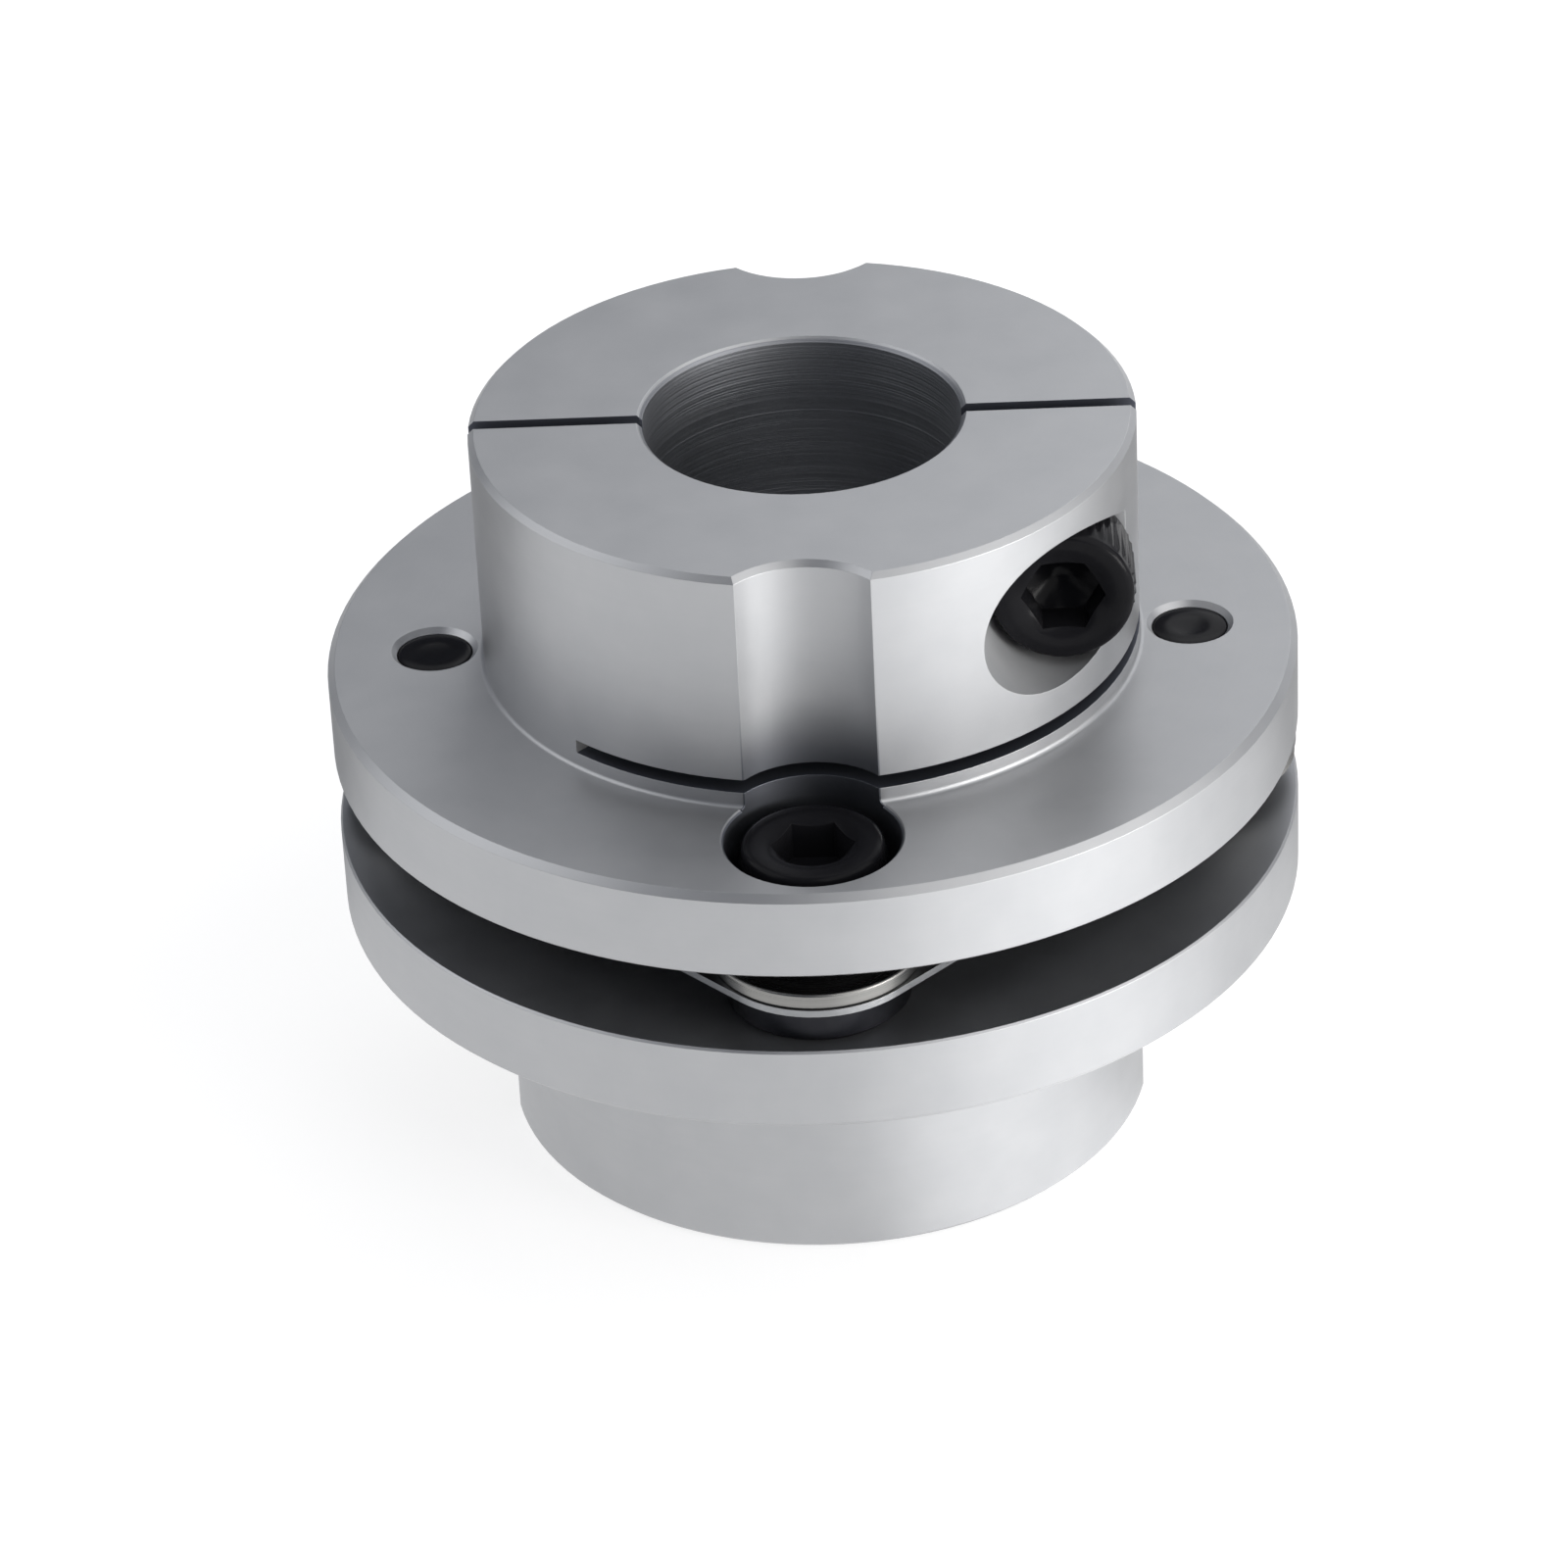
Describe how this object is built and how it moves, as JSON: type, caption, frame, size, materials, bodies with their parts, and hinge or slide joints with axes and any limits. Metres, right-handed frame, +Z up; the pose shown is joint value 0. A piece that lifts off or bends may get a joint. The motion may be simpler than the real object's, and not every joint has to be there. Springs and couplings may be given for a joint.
{
  "type": "disc coupling",
  "caption": "Stepped flexible shaft coupling: two flanged clamp hubs joined by a pack of thin steel leaves, with slit clamp bores and socket head screws.",
  "frame": {"origin": "centre of the lower hub's end face, which the coupling stands on", "axes": "+Z up along the common axis of the two bores; +X towards the upper hub's clamp screw; -Y is the front, where that screw's head faces"},
  "size_m": [0.068, 0.068, 0.054],
  "materials": {
    "hub_aluminium": "fine turned and clear anodised, satin",
    "leaf_steel": "cold rolled stainless sheet, bright",
    "washer_steel": "polished",
    "collar_steel": "dark blued, fine turned",
    "screw_black_oxide": "black oxide with a thin film of oil, semi-gloss"
  },
  "bodies": {
    "root": {"upper_hub": "hub_aluminium", "lower_hub": "hub_aluminium", "clamp_screw_upper": "screw_black_oxide", "clamp_screw_lower": "screw_black_oxide", "disc_leaf_1": "leaf_steel", "disc_leaf_2": "leaf_steel", "disc_leaf_3": "leaf_steel", "disc_leaf_4": "leaf_steel", "disc_leaf_5": "leaf_steel", "disc_screw_front": "screw_black_oxide", "spring_washer_front": "screw_black_oxide", "head_washer_front": "washer_steel", "spacer_collar_front": "collar_steel", "disc_screw_back": "screw_black_oxide", "spring_washer_back": "screw_black_oxide", "head_washer_back": "washer_steel", "spacer_collar_back": "collar_steel", "disc_screw_left": "screw_black_oxide", "spring_washer_left": "screw_black_oxide", "head_washer_left": "washer_steel", "spacer_collar_left": "collar_steel", "disc_screw_right": "screw_black_oxide", "spring_washer_right": "screw_black_oxide", "head_washer_right": "washer_steel", "spacer_collar_right": "collar_steel"}
  },
  "joints": []
}
